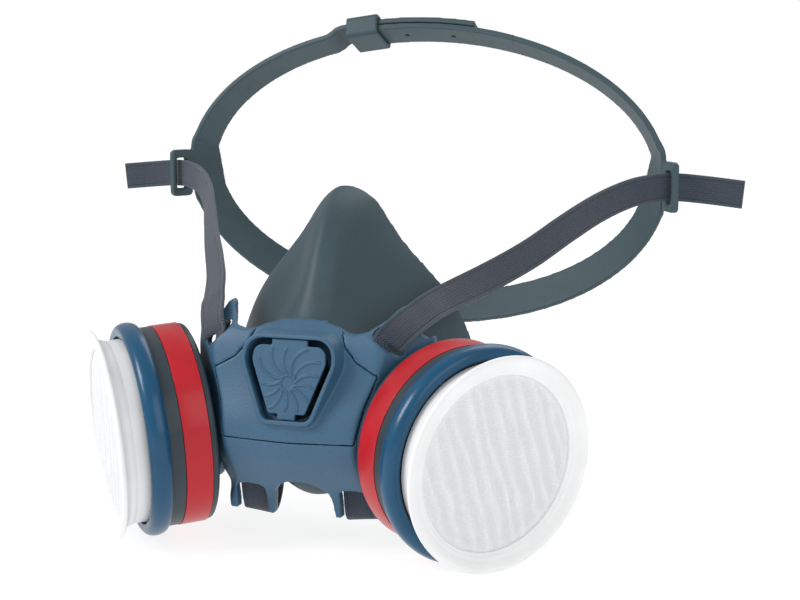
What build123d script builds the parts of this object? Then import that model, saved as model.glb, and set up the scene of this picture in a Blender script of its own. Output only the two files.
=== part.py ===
"""Twin-cartridge half-mask respirator with an elastic harness and a neck strap.

Frame: +Z up, -Y the way the wearer looks, +X the wearer's left. The origin is the middle of the
face opening. All lengths are in millimetres. Left-hand pieces are drawn and the right-hand ones
are their mirror images in the plane X = 0.
"""

import os
from math import cos, degrees, radians, sin, sqrt, tan

from build123d import *

os.makedirs("parts", exist_ok=True)

# ---------------------------------------------------------------- driving dimensions
GAP = 0.3  # between pieces that lie on each other
RUN = 0.35  # running clearance of the bayonets

WALL = 2.8  # moulded rubber of the facepiece
SEAL_RADIUS = 150.0  # curve of the face seal, seen from above
SEAL_SET_BACK = 2.0  # its middle lies this far in front of the origin
SEAL_LIP = 12.0  # width of the turned-in seal

CARTRIDGE_YAW = 52.8  # cartridge axis, degrees from straight ahead
CARTRIDGE_DROP = 4.9  # and below the horizontal
CARTRIDGE_REAR = (55.3, -46.7, -37.5)  # centre of the left cartridge's rear face
CARTRIDGE_R = 43.2
SHELL_T = 1.6  # cartridge wall
REAR_RIM = 3.2  # distances along the cartridge axis, from its rear face
RED_END = 14.6
RING_START = 20.6
RING_END = 31.0
RING_R = 46.0
PREFILTER_END = 40.4
PREFILTER_R = 45.0

PORT_R = 16.0  # bayonet port, outside
PORT_BORE = 13.2
LUG_R = 18.6
LUG_ARC = 32.0
LUG_COUNT = 3
TWIST = 40.0  # turn from locked to free, degrees

CARRIER_T = 5.0  # front carrier; the cover is let into its front
COVER_T = 2.6
PANEL_LEAN = 10.0  # plane of the cover's collar, degrees from vertical

STRAP_W = 13.0
STRAP_T = 1.5
BAND_W = 17.0  # rubber straps of the cradle
BAND_T = 2.8
CRADLE_A = 122.0  # half width of the cradle
CRADLE_Y, CRADLE_Z = 98.0, 57.5
CROWN_RISE = 73.0
CROWN_FLARE = 25.0  # how far the crown strap's face turns back, degrees
SIDE_FLARE = 34.0
REAR_FLARE = 44.0
REAR_REACH = 76.0
REAR_SLOPE = 79.0  # rear strap's plane below the horizontal, degrees

# ---------------------------------------------------------------- shared frames and helpers
yaw, drop, lean = radians(CARTRIDGE_YAW), radians(CARTRIDGE_DROP), radians(PANEL_LEAN)
AXIS = Vector(sin(yaw) * cos(drop), -cos(yaw) * cos(drop), -sin(drop))
LEVEL = Vector(cos(yaw), sin(yaw), 0)  # across the cartridge, level
REAR = Vector(*CARTRIDGE_REAR)
# Profiles of turned pieces are drawn with x = radius and y = distance along the axis.
TURNING = Plane(origin=REAR, x_dir=LEVEL, z_dir=LEVEL.cross(AXIS))
PORT_AXIS = Axis(origin=REAR, direction=AXIS)


def port_plane(s):
    """Plane square to the left cartridge's axis, s in front of its rear face."""
    return Plane(origin=REAR + AXIS * s, x_dir=LEVEL, z_dir=AXIS)


def panel_plane(height):
    """Plane of the cover's collar, `height` in front of its foot."""
    out = Vector(0, -cos(lean), sin(lean))
    return Plane(origin=Vector(0, -75.6, -12) + out * height, x_dir=(1, 0, 0), z_dir=out)


def save(part, name):
    """Writes one sub-part."""
    part.label = name
    export_step(part, f"parts/{name}.step")


def save_pair(part, name):
    """Writes a left piece and its mirror image."""
    save(part, f"left_{name}")
    save(mirror(part, about=Plane.YZ), f"right_{name}")


def both_sides(part):
    """A left piece together with its mirror image, for cuts and additions."""
    return [part, mirror(part, about=Plane.YZ)]


def turned(*profile):
    """Solid turned about the cartridge axis from (radius, distance) corners."""
    with BuildPart() as piece:
        with BuildSketch(TURNING):
            with BuildLine():
                Polyline(*profile, close=True)
            make_face()
        revolve(axis=PORT_AXIS)
    return piece.part


def washer(inner, outer, start, end):
    """Ring, or a disc when inner is 0, about the cartridge axis."""
    return turned((inner, start), (outer, start), (outer, end), (inner, end))


def ribbon(stations, width, thickness):
    """Flat strap through stations (point, face normal), as one ruled solid."""
    points = [Vector(*p) for p, _ in stations]
    with BuildPart() as strap:
        for i, (_, normal) in enumerate(stations):
            before, after = points[max(i - 1, 0)], points[min(i + 1, len(points) - 1)]
            along = (after - before).normalized()
            across = Vector(*normal).cross(along).normalized()
            with BuildSketch(Plane(origin=points[i], x_dir=across, z_dir=along)):
                Rectangle(width, thickness)
        loft(ruled=True)
    return strap.part


# ---------------------------------------------------------------- facepiece
# Half outlines (x, z) of the shell at stations along Y, from the crown of the nose to the chin.
STATIONS = {
    24: [(0, 65), (12, 60), (23, 44), (43, 17), (54, -5), (59, -28), (52, -49), (30, -62), (0, -66)],
    2: [(0, 63), (11.5, 58), (22, 43), (42, 17), (52, -5), (56, -28), (49, -49), (28, -61), (0, -66)],
    -18: [(0, 58), (7.5, 53.5), (15, 40), (31, 15), (43, -5), (50, -28), (46, -48), (27, -60), (0, -67)],
    -36: [(0, 43), (5.5, 38), (10, 27), (20, 9), (32, -6), (39, -28), (37, -47), (23, -59), (0, -67)],
    -50: [(0, 18), (6, 15), (11, 9.5), (18, 3), (25, -7), (28, -28), (26, -45), (15, -58), (0, -65)],
    -59: [(0, 7), (8, 6), (13, 3), (17, -3), (20, -11), (21, -28), (20, -42), (13, -52), (0, -58)],
}
MIDDLE_Z = -14.0  # outlines shrink towards this height
BOSS_ROOT = -34.0
BOSS_FACE = -10.6
BOSS_R = 20.0
EXHALE_R = 12.6
VALVE_Z = -12.0


def shell_form(inset, front):
    """Solid inside the shell's outlines, drawn in by inset and stopped at Y = front."""
    with BuildPart() as form:
        for y, half in STATIONS.items():
            drawn = []
            for x, z in half:
                reach = sqrt(x * x + (z - MIDDLE_Z) ** 2)
                scale = (reach - inset) / reach
                drawn.append((x * scale, MIDDLE_Z + (z - MIDDLE_Z) * scale))
            at = Plane(origin=(0, max(y, front), 0), x_dir=(1, 0, 0), z_dir=(0, -1, 0))
            with BuildSketch(at):
                with BuildLine():
                    Spline(*drawn, *[(-x, z) for x, z in drawn[-2:0:-1]], periodic=True)
                make_face()
        loft()
    return form.part


def seal_cylinder(radius):
    """Upright cylinder that the face side of the mask follows."""
    with BuildPart() as head:
        with BuildSketch(Plane.XY.offset(-120)):
            with Locations((0, SEAL_RADIUS - SEAL_SET_BACK)):
                Circle(radius)
        extrude(amount=240)
    return head.part


outer_form = shell_form(0, -59)
inner_form = shell_form(WALL, -59 + WALL)
mouth_form = shell_form(SEAL_LIP, -59 + SEAL_LIP)
head_form = seal_cylinder(SEAL_RADIUS)
lip_form = seal_cylinder(SEAL_RADIUS + 2.2)

boss = washer(0, BOSS_R, BOSS_ROOT, BOSS_FACE)
bore = washer(0, PORT_R + GAP, BOSS_ROOT - 8, BOSS_FACE + 2)
VALVE = Plane(origin=(0, 0, VALVE_Z), x_dir=(1, 0, 0), z_dir=(0, -1, 0))

with BuildPart() as facepiece:
    add(outer_form)
    for piece in both_sides(boss):
        add(piece)
    add(inner_form - lip_form, mode=Mode.SUBTRACT)
    add(mouth_form, mode=Mode.SUBTRACT)
    for piece in both_sides(bore):
        add(piece, mode=Mode.SUBTRACT)
    with BuildSketch(VALVE.offset(40)):
        Circle(EXHALE_R)
    extrude(amount=40, mode=Mode.SUBTRACT)
    add(head_form, mode=Mode.SUBTRACT)
save(facepiece.part, "facepiece")

# ---------------------------------------------------------------- front carrier and valve cover
# Front face at each height z: y of its middle, x and y of its knee, and y at its outer edge.
FRONT_ROWS = {
    19: (-57.5, 14, -56.5, -32),
    11: (-63, 22, -61.5, -42),
    4: (-69, 35, -67.3, -41.4),
    -8.6: (-73.6, 35.5, -71, -44),
    -35.4: (-81, 28.3, -79.4, -43.4),
    -48: (-75.5, 28, -74, -37.5),
    -60: (-65.5, 30, -63.5, -31),
    -76: (-60, 32, -57.5, -27),
}
FRONT_EDGE = 56
KNEE_R = 4.0
CARRIER_HALF = [(0, 11.6), (9.8, 11.4), (10.2, 10.6), (16, 9.4), (20, 7.6), (24, 7), (29, 8.2), (34, 12)]
CARRIER_HALF += [(36.4, 15.2), (38, 16.2), (39.6, 15), (40.4, 12.6), (42.5, 10.6), (49.6, 4), (51.8, 5)]
CARRIER_HALF += [(52.4, 3), (52, -4), (48, -22), (46, -42), (38, -57), (34.6, -59.5)]
CARRIER_HALF += [(34.2, -71), (30.6, -71), (30.2, -61), (28.6, -59), (24, -58.2), (18.6, -58.6), (16.6, -60)]
CARRIER_HALF += [(16.2, -71.6), (13.8, -71.6), (13, -65), (12.2, -61), (9, -57.6), (4.6, -55.6), (0, -55)]
COVER_HALF = [(0, 30), (18.5, 30), (18.5, 8.7), (21, 2.4), (26.5, -3.6), (35.5, -8.6), (31.2, -21)]
COVER_HALF += [(28.3, -35.4), (0, -36)]
COLLAR_HALF = [(19.2, 19.6), (20.6, 8), (11, -17.2)]
COLLAR_CORNERS = (8.5, 12, 5.5)  # radii of those corners
COLLAR_H = 4.2
COLLAR_WALL = 1.7
COLLAR_DRAFT = radians(10)
SLOT_AT = (37.5, 4)
SLOT_ANGLE = -42.0
FRONT = Plane(origin=(0, 0, 0), x_dir=(1, 0, 0), z_dir=(0, -1, 0))


def front_form(depth):
    """Solid behind the front face, the face itself set back by depth."""
    with BuildPart() as form:
        for z, (middle, knee, knee_y, edge_y) in FRONT_ROWS.items():
            right = [(knee, knee_y + depth), (FRONT_EDGE, edge_y + depth), (FRONT_EDGE, depth - 10)]
            with BuildSketch(Plane.XY.offset(z)) as row:
                with BuildLine():
                    Polyline(*[(-x, y) for x, y in reversed(right)], (0, middle + depth), *right, close=True)
                make_face()
                fillet([v for v in row.vertices() if abs(abs(v.X) - knee) < 0.1], KNEE_R)
        loft()
    return form.part


def front_prism(half, grow=0.0):
    """Prism along Y over a symmetrical outline seen from the front."""
    with BuildPart() as prism:
        with BuildSketch(FRONT):
            with BuildLine():
                Polyline(*half, *[(-x, z) for x, z in half[-1 if half[-1][0] else -2:0:-1]], close=True)
            make_face()
            if grow:
                offset(amount=grow, kind=Kind.INTERSECTION)
        extrude(amount=100)
    return prism.part


def collar_outline(amount):
    """Rounded outline of the collar, grown by amount, in the active plane."""
    with BuildSketch() as outline:
        Polygon(*COLLAR_HALF, *[(-x, y) for x, y in reversed(COLLAR_HALF)], align=None)
        for (_, y), radius in zip(COLLAR_HALF, COLLAR_CORNERS):
            fillet([v for v in outline.vertices() if abs(v.Y - y) < 0.01], radius)
        if amount:
            offset(amount=amount)
    return outline.sketch


front_0 = front_form(0)
cover_back = front_form(COVER_T)
pocket_back = front_form(COVER_T + GAP)
carrier_back = front_form(CARRIER_T)
cartridge_room = washer(0, CARTRIDGE_R + 2.5, -1.6, 60)
port_collar = washer(0, 25, -7.5, -4.5)
port_hole = washer(0, PORT_R + GAP, -30, 0)
boss_room = washer(0, BOSS_R + 0.4, -40, -7.5)
gasket_room = washer(0, BOSS_R + 0.4, -4.5, 0)

with BuildPart() as slots:
    with BuildSketch(FRONT):
        with Locations(SLOT_AT):
            SlotOverall(14.8, 3.4, rotation=SLOT_ANGLE)
    extrude(amount=100)

with BuildPart() as carrier:
    add(front_0 & front_prism(CARRIER_HALF))
    add(carrier_back, mode=Mode.SUBTRACT)
    for piece in both_sides(port_collar):
        add(piece)
    add((front_0 - pocket_back) & front_prism(COVER_HALF, GAP), mode=Mode.SUBTRACT)
    with BuildSketch(VALVE.offset(50)):
        Circle(15.4)
    extrude(amount=40, mode=Mode.SUBTRACT)
    for cut in (cartridge_room, port_hole, boss_room, gasket_room, slots.part):
        for piece in both_sides(cut):
            add(piece, mode=Mode.SUBTRACT)
save(carrier.part, "front_carrier")

with BuildPart() as collar:
    with BuildSketch(panel_plane(-6)):
        add(collar_outline((COLLAR_H + 6) * tan(COLLAR_DRAFT)))
    extrude(amount=COLLAR_H + 6, taper=degrees(COLLAR_DRAFT))
    add(cover_back, mode=Mode.SUBTRACT)
with BuildPart() as collar_inside:
    with BuildSketch(panel_plane(-8)):
        add(collar_outline(-COLLAR_WALL))
    extrude(amount=20)

with BuildPart() as cover:
    add((front_0 - cover_back) & front_prism(COVER_HALF) & front_prism(CARRIER_HALF))
    add(collar.part)
    add(collar_inside.part, mode=Mode.SUBTRACT)
    for piece in both_sides(cartridge_room):
        add(piece, mode=Mode.SUBTRACT)
save(cover.part, "valve_cover")

RIBS = 13
with BuildPart() as shield:
    with BuildSketch(panel_plane(1.2)):
        add(collar_outline(-COLLAR_WALL - GAP))
        with BuildSketch(mode=Mode.PRIVATE) as vents:
            add(collar_outline(-COLLAR_WALL))
            add(collar_outline(-COLLAR_WALL - 2.8), mode=Mode.SUBTRACT)
            with Locations((0, 18)):
                Rectangle(15.4, 12, mode=Mode.SUBTRACT)
            with Locations((0, -17)):
                Rectangle(7.6, 12, mode=Mode.SUBTRACT)
        add(vents.sketch, mode=Mode.SUBTRACT)
    extrude(amount=1.8)
    with BuildSketch(panel_plane(2.9)):
        with PolarLocations(0.5, RIBS):
            with BuildLine(mode=Mode.PRIVATE) as rib:
                ThreePointArc((2.4, 0), (8, 3.4), (15.5, 1.4))
            SlotArc(rib.edge(), 0.8)
        add(collar_outline(-COLLAR_WALL - 3.8), mode=Mode.INTERSECT)
    extrude(amount=0.7)
save(shield.part, "swirl_shield")

# ---------------------------------------------------------------- exhalation valve
SEAT_FRONT = 62.0  # distances in front of the face opening
SEAT_LIP_R = 11.8
SPOKES = 4

with BuildPart() as exhale_seat:
    with BuildSketch(VALVE.offset(56)):
        Circle(EXHALE_R - GAP)
        Circle(EXHALE_R - 2, mode=Mode.SUBTRACT)
    extrude(amount=SEAT_FRONT - 56)
    with BuildSketch(VALVE.offset(59.3)):
        Circle(15)
        Circle(EXHALE_R - 2, mode=Mode.SUBTRACT)
    extrude(amount=1.6)
    with BuildSketch(VALVE.offset(57.5)):
        Circle(3)
        with PolarLocations(6, SPOKES):
            Rectangle(11, 1.4)
    extrude(amount=3)
save(exhale_seat.part, "exhale_seat")

with BuildPart() as exhale_disc:
    with BuildSketch(VALVE.offset(SEAT_FRONT + 0.2)):
        Circle(SEAT_LIP_R)
    extrude(amount=0.8)
    with BuildSketch(VALVE.offset(SEAT_FRONT + 0.6)):
        Circle(2.4)
    extrude(amount=0.9)
save(exhale_disc.part, "exhale_disc")

# ---------------------------------------------------------------- inhalation ports
FLANGE = (-10.3, -7.8)
LUGS = (1.5, 3.9)
SEAT = (-24.2, -22.6)


def lug_ring(radius, arc, start, end, turn=0.0):
    """Lugs, or the openings for them, about the cartridge axis."""
    with BuildPart() as lugs:
        with BuildSketch(port_plane(start)):
            with PolarLocations(0, LUG_COUNT, start_angle=turn):
                with BuildLine():
                    side = radius / cos(radians(arc / 2))
                    half = radians(arc / 2)
                    tip = (side * cos(half), side * sin(half))
                    Polyline((0, 0), tip, (tip[0], -tip[1]), close=True)
                make_face()
            Circle(radius, mode=Mode.INTERSECT)
        extrude(amount=end - start)
    return lugs.part


with BuildPart() as port_ring:
    add(washer(PORT_BORE, PORT_R, -26, 5))
    add(washer(PORT_BORE, BOSS_R, *FLANGE))
    add(lug_ring(LUG_R, LUG_ARC, *LUGS) - washer(0, PORT_R - 0.5, 0, 8))
save_pair(port_ring.part, "port_ring")

save_pair(washer(PORT_R + 0.1, 20, -4.3, -GAP), "port_gasket")

with BuildPart() as inhale_seat:
    add(washer(0, PORT_BORE - 0.2, *SEAT))
    with BuildSketch(port_plane(SEAT[0] - 1)):
        with PolarLocations(7, 6):
            Circle(2.9)
    extrude(amount=4, mode=Mode.SUBTRACT)
save_pair(inhale_seat.part, "inhale_seat")

with BuildPart() as inhale_disc:
    add(washer(0, PORT_BORE - 1.4, SEAT[0] - 1, SEAT[0] - 0.2))
save_pair(inhale_disc.part, "inhale_disc")

# ---------------------------------------------------------------- cartridge
HUB = (8.0, 21.5, 11.0)  # inner end of the socket, its outside radius, the intake's radius
CASE_FRONT = (24.6, 27.4)
CASE_R = CARTRIDGE_R - 0.2
NECK_R = 39.4

with BuildPart() as base:
    add(turned((0, 0), (40.6, 0), (42.4, 0.9), (CASE_R, REAR_RIM), (0, REAR_RIM)))
    add(washer(0, HUB[1], 1, HUB[0]))
    add(washer(0, LUG_R + RUN, 1.2, 6), mode=Mode.SUBTRACT)
    add(washer(0, HUB[2], 0, HUB[0]), mode=Mode.SUBTRACT)
    add(washer(0, PORT_R + RUN, -1, 6), mode=Mode.SUBTRACT)
    add(lug_ring(LUG_R + RUN, LUG_ARC + 5, -1, 3, TWIST), mode=Mode.SUBTRACT)
save_pair(base.part, "cartridge_base")

with BuildPart() as case:
    add(washer(CASE_R - SHELL_T, CASE_R, REAR_RIM + 0.1, CASE_FRONT[1]))
    add(washer(0, CASE_R - 1, *CASE_FRONT))
    add(washer(CASE_R - 0.5, CASE_R + 1, REAR_RIM, RED_END), mode=Mode.SUBTRACT)
    with BuildSketch(port_plane(CASE_FRONT[0] - 1)):
        with Locations(*[(0, step * 6.6) for step in range(-5, 6)]):
            SlotOverall(44, 3)
    extrude(amount=6, mode=Mode.SUBTRACT)
save_pair(case.part, "cartridge_case")

save_pair(washer(CASE_R - 0.45, CARTRIDGE_R, REAR_RIM + 0.2, RED_END - 0.1), "label_band")

ring_profile = [(CASE_R + 0.05, RING_START), (45, 20.9), (45.8, 22.6), (RING_R, 25), (45.8, 27.2)]
ring_profile += [(45, 29.2), (43.6, 30.6), (41.8, RING_END), (40.6, 30.2), (40.6, CASE_FRONT[1] + 0.1)]
ring_profile += [(CASE_R + 0.05, CASE_FRONT[1] + 0.1)]
save_pair(turned(*ring_profile), "accent_ring")

save_pair(washer(0, CASE_R - SHELL_T - 0.1, 9.2, 23.3), "carbon_bed")
save_pair(washer(0, CASE_R - SHELL_T - 0.1, 8.2, 9.0), "rear_screen")
save_pair(washer(0, CASE_R - SHELL_T - 0.1, 23.5, 24.3), "front_screen")

# ---------------------------------------------------------------- prefilter
PLEATS = 14
rim_profile = [(36.8, 27.9), (NECK_R, 27.9), (NECK_R, 33.4), (40.3, 34.0), (41.4, 36.2), (43.8, 37.6)]
rim_profile += [(PREFILTER_R, 38.6), (PREFILTER_R, 39.8), (44.2, PREFILTER_END), (41.2, 40.2)]
rim_profile += [(38.8, 38.8), (37.6, 37.9), (36.8, 37.7)]
save_pair(turned(*rim_profile), "prefilter_rim")

with BuildPart() as media:
    with BuildSketch(port_plane(28.6)):
        with Locations(*[((i - (PLEATS - 1) / 2) * 5, 0) for i in range(PLEATS)]):
            Rectangle(3.6, 80)
        Circle(36.6, mode=Mode.INTERSECT)
    extrude(amount=6.6)
    add(washer(0, 36.6, 35.1, 35.8))
save_pair(media.part, "prefilter_pleats")
save_pair(washer(0, 36.6, 36.0, 37.2), "prefilter_web")

# ---------------------------------------------------------------- elastic straps
ANCHOR_LIFT = GAP + STRAP_T
UPPER_PATH = [((45.2, -49.4, 13.0), (0.56, -0.35, 0.76)), ((48.6, -41, 16), (0.62, -0.25, 0.74))]
UPPER_PATH += [((53.5, -28, 18.6), (0.7, -0.2, 0.66)), ((64, -4, 24), (0.84, -0.2, 0.5))]
UPPER_PATH += [((76, 20, 31.5), (0.88, -0.3, 0.3)), ((87, 43, 40.5), (0.87, -0.42, 0.16))]
UPPER_PATH += [((97.4, 64, 48.6), (0.83, -0.54, 0.07)), ((108.4, 80, 53.8), (0.76, -0.64, 0.02))]
UPPER_PATH += [((118.6, 89, 55.9), (0.6, -0.8, 0)), ((125.1, 93.4, 56), (0.56, -0.83, 0))]
UPPER_PATH += [((131.4, 96.8, 55.6), (0.42, -0.9, 0)), ((143.4, 99.4, 54.4), (0.05, -1, 0))]
UPPER_PATH += [((158, 98.6, 53), (-0.05, -1, 0))]
save_pair(ribbon(UPPER_PATH, STRAP_W, STRAP_T), "upper_strap")

with BuildPart() as anchor:
    add(front_form(-ANCHOR_LIFT) - front_form(-GAP))
    with BuildSketch(FRONT) as patch:
        with Locations(Location((*SLOT_AT, 0), SLOT_ANGLE)):
            with Locations((0, 4.4)):
                Rectangle(STRAP_W, 11.2)
    extrude(amount=100, mode=Mode.INTERSECT)
save_pair(anchor.part, "strap_anchor")

HANGER_PATH = [((23.2, -61.2, -52), (0.1, -1, 0)), ((23.2, -58.5, -58), (0.08, -1, -0.1))]
HANGER_PATH += [((23.2, -57.2, -64), (0.1, -0.95, -0.25)), ((23.2, -56.2, -68.2), (0.12, -0.8, -0.55))]
HANGER_PATH += [((23.2, -55.6, -70), (0.12, -0.65, -0.72))]
save_pair(ribbon(HANGER_PATH, STRAP_W - 0.4, STRAP_T), "neck_hanger")

NECK_PATH = [((23.2, -54.2, -72.2), (0.15, -0.4, -0.9)), ((23.6, -50.6, -73), (0.1, -0.1, -1))]
NECK_PATH += [((25.4, -42, -73), (0.1, 0, -1)), ((31, -24, -71.6), (0.3, 0, -0.95))]
NECK_PATH += [((41, 6, -69.4), (0.62, -0.1, -0.75)), ((51.5, 35, -67), (0.9, -0.1, -0.4))]
NECK_PATH += [((57.5, 62, -65), (1, 0.1, -0.1)), ((53, 86, -63.6), (0.9, 0.5, 0))]
NECK_PATH += [((36, 103, -62.6), (0.5, 0.9, 0)), ((21, 109.2, -62), (0.2, 1, 0))]
NECK_PATH += [((14.6, 110, -62), (0, 1, 0)), ((9.5, 110, -62), (0, 1, 0))]
save_pair(ribbon(NECK_PATH, STRAP_W, STRAP_T), "neck_strap")

CLASP = Plane(origin=(0, 110, -62), x_dir=(1, 0, 0), z_dir=(0, -1, 0))
with BuildPart() as hook:
    with BuildSketch(CLASP.offset(-1.9)):
        with Locations((5, 0)):
            RectangleRounded(8, 16, 1.5)
    extrude(amount=3.4)
    with BuildSketch(CLASP.offset(-3.4)):
        with Locations((1.2, 0)):
            RectangleRounded(13.6, 9, 1.2)
    extrude(amount=1.7)
    with BuildSketch(CLASP.offset(-3)):
        with Locations((-4.8, 0)):
            Rectangle(1.6, 9)
    extrude(amount=3.4)
    with BuildSketch(CLASP.offset(-2)):
        with Locations((11, 0)):
            Rectangle(4.4, 14.6)
    extrude(amount=4)
    with BuildSketch(CLASP.offset(-STRAP_T / 2 - 0.1)):
        with Locations((12, 0)):
            Rectangle(5.4, 14.8)
    extrude(amount=STRAP_T + 0.2, mode=Mode.SUBTRACT)
save(hook.part, "neck_hook")

with BuildPart() as eye:
    with BuildSketch(CLASP.offset(-1.3)):
        with Locations((-5, 0)):
            RectangleRounded(8.8, 16, 1.5)
        with Locations((-4.9, 0)):
            Rectangle(3.4, 10.4, mode=Mode.SUBTRACT)
    extrude(amount=2.6)
    with BuildSketch(CLASP.offset(-2)):
        with Locations((-11, 0)):
            Rectangle(4.4, 14.6)
    extrude(amount=4)
    with BuildSketch(CLASP.offset(-STRAP_T / 2 - 0.1)):
        with Locations((-12, 0)):
            Rectangle(5.4, 14.8)
    extrude(amount=STRAP_T + 0.2, mode=Mode.SUBTRACT)
save(eye.part, "neck_eye")

# ---------------------------------------------------------------- head cradle
slope = radians(REAR_SLOPE)
JUNCTION = 10.6  # the two straps start this many degrees along their arcs
BACK = Vector(0, 1, 0)
REAR_OUT = Vector(0, cos(slope), -sin(slope))
REAR_NORMAL = Vector(0, sin(slope), cos(slope))


def cradle_stations(start, end, steps, rise, up, square, flare, lift=lambda angle: 0.0):
    """Stations of one cradle strap; its front edge runs along a half ellipse."""
    stations = []
    for i in range(steps + 1):
        at = start + (end - start) * i / steps
        a = radians(at)
        edge = Vector(0, CRADLE_Y, CRADLE_Z) + Vector(CRADLE_A * cos(a), 0, 0) + up * (rise * sin(a))
        radial = (Vector(cos(a) / CRADLE_A, 0, 0) + up * (sin(a) / rise)).normalized()
        turn = radians(flare)
        normal = radial * cos(turn) + square * sin(turn)
        inward = square * cos(turn) - radial * sin(turn)
        centre = edge + inward * (BAND_W / 2) + normal * lift(at)
        stations.append((tuple(centre), tuple(normal)))
    return stations


UP = Vector(0, 0, 1)
LAP = BAND_T + GAP
LEFT_END = 107.0
LAP_START, LAP_FULL, LAP_END = 113.0, 109.5, 77.0


def lap_lift(angle):
    """Height of the right crown strap over the left one's tongue."""
    return LAP * min(max((LAP_START - angle) / (LAP_START - LAP_FULL), 0), 1)


def crown_plane(angle, height):
    """Plane on the crown strap at an angle along it, x across the strap, z outwards."""
    (centre, normal), (ahead, _) = cradle_stations(angle, angle + 1, 1, CROWN_RISE, UP, BACK, CROWN_FLARE)
    along = (Vector(*ahead) - Vector(*centre)).normalized()
    across = Vector(*normal).cross(along)
    return Plane(origin=Vector(*centre) + Vector(*normal) * height, x_dir=across, z_dir=normal)


STUD_AT, HOLES_AT, KEEPER_AT = 104.7, (93.8, 82.5), 103.6
with BuildPart() as crown_left:
    add(ribbon(cradle_stations(JUNCTION, LEFT_END, 22, CROWN_RISE, UP, BACK, CROWN_FLARE), BAND_W, BAND_T))
    with BuildSketch(crown_plane(STUD_AT, 4)):
        SlotOverall(7.6, 3.8, rotation=90)
    for angle in HOLES_AT:
        with BuildSketch(crown_plane(angle, 4)):
            Circle(1.1)
    extrude(amount=-8, mode=Mode.SUBTRACT)
save(crown_left.part, "left_crown_strap")

lapped = cradle_stations(180 - JUNCTION, LAP_START, 14, CROWN_RISE, UP, BACK, CROWN_FLARE)
lapped += cradle_stations(LAP_FULL, LAP_END, 8, CROWN_RISE, UP, BACK, CROWN_FLARE, lap_lift)
save(ribbon(lapped, BAND_W, BAND_T), "right_crown_strap")

with BuildPart() as stud:
    with BuildSketch(crown_plane(STUD_AT, BAND_T / 2 + GAP / 2)):
        SlotOverall(6.6, 2.8, rotation=90)
    extrude(amount=-BAND_T - 0.4)
save(stud.part, "crown_stud")

with BuildPart() as keeper:
    middle = crown_plane(KEEPER_AT, LAP / 2)
    with BuildSketch(Plane(origin=middle.origin, x_dir=middle.x_dir, z_dir=middle.y_dir)):
        RectangleRounded(20.8, 10.6, 2)
        Rectangle(17.2, 7.2, mode=Mode.SUBTRACT)
    extrude(amount=8, both=True)
save(keeper.part, "crown_keeper")

rear = cradle_stations(JUNCTION, 180 - JUNCTION, 28, REAR_REACH, REAR_OUT, REAR_NORMAL, REAR_FLARE)
save(ribbon(rear, BAND_W, BAND_T), "rear_strap")

# Side piece between the two straps, with its strap loop: x runs back, y up, z outwards.
side_flare = radians(SIDE_FLARE)
SIDE = Plane(
    origin=(CRADLE_A, CRADLE_Y, CRADLE_Z),
    x_dir=(-sin(side_flare), cos(side_flare), 0),
    z_dir=(cos(side_flare), sin(side_flare), 0),
)
SIDE_ENDS = JUNCTION - 0.5, JUNCTION - 1.2  # of the side piece at the crown and at the rear strap
middle = [(tuple(SIDE.from_local_coords((BAND_W / 2, 0, 0))), tuple(SIDE.z_dir))]
crown_end = cradle_stations(SIDE_ENDS[0], 5, 1, CROWN_RISE, UP, BACK, CROWN_FLARE)
rear_end = cradle_stations(5, SIDE_ENDS[1], 1, REAR_REACH, REAR_OUT, REAR_NORMAL, REAR_FLARE)
with BuildPart() as side:
    add(ribbon(crown_end + middle + rear_end, BAND_W, BAND_T))
    with BuildSketch(SIDE.offset(-1.8)):
        with Locations((-5.1, -1.5)):
            RectangleRounded(11.8, 23.6, 2.4)
        with Locations((-5.6, -1.5)):
            Rectangle(5.6, 15.4, mode=Mode.SUBTRACT)
    extrude(amount=3.6)
save_pair(side.part, "cradle_side")
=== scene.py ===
"""Half-mask respirator: dressed pieces, finishes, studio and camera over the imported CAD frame.

Lengths in this file are millimetres, in the CAD frame: +Z up, -Y the way the wearer looks, +X the
wearer's left. Left-hand pieces are made first and mirrored. Meshes are scaled to metres last.
"""

import logging
from dataclasses import dataclass
from enum import Enum
from math import cos, pi, radians, sin
from typing import Iterable, Optional, Sequence, Union

import bmesh
import bpy
from mathutils import Matrix, Vector, noise


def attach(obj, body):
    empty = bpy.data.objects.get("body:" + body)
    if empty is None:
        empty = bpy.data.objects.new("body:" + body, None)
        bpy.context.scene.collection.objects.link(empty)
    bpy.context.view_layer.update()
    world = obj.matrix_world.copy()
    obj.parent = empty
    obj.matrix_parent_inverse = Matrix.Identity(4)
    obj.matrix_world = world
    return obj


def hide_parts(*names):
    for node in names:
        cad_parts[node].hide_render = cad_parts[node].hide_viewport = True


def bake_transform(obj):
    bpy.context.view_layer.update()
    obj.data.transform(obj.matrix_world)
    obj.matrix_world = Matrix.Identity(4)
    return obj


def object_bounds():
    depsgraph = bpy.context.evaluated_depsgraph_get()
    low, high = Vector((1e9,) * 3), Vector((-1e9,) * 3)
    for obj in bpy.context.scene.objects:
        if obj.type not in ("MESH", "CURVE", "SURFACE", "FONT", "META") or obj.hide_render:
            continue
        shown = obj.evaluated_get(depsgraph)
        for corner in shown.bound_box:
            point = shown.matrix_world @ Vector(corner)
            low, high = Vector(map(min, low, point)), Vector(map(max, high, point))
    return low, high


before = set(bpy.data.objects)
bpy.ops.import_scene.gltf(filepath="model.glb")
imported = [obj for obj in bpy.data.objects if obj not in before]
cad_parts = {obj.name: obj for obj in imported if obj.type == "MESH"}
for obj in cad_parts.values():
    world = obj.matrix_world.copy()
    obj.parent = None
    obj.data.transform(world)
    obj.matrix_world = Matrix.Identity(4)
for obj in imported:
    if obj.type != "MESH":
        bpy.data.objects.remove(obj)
CAD_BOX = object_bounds()

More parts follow.
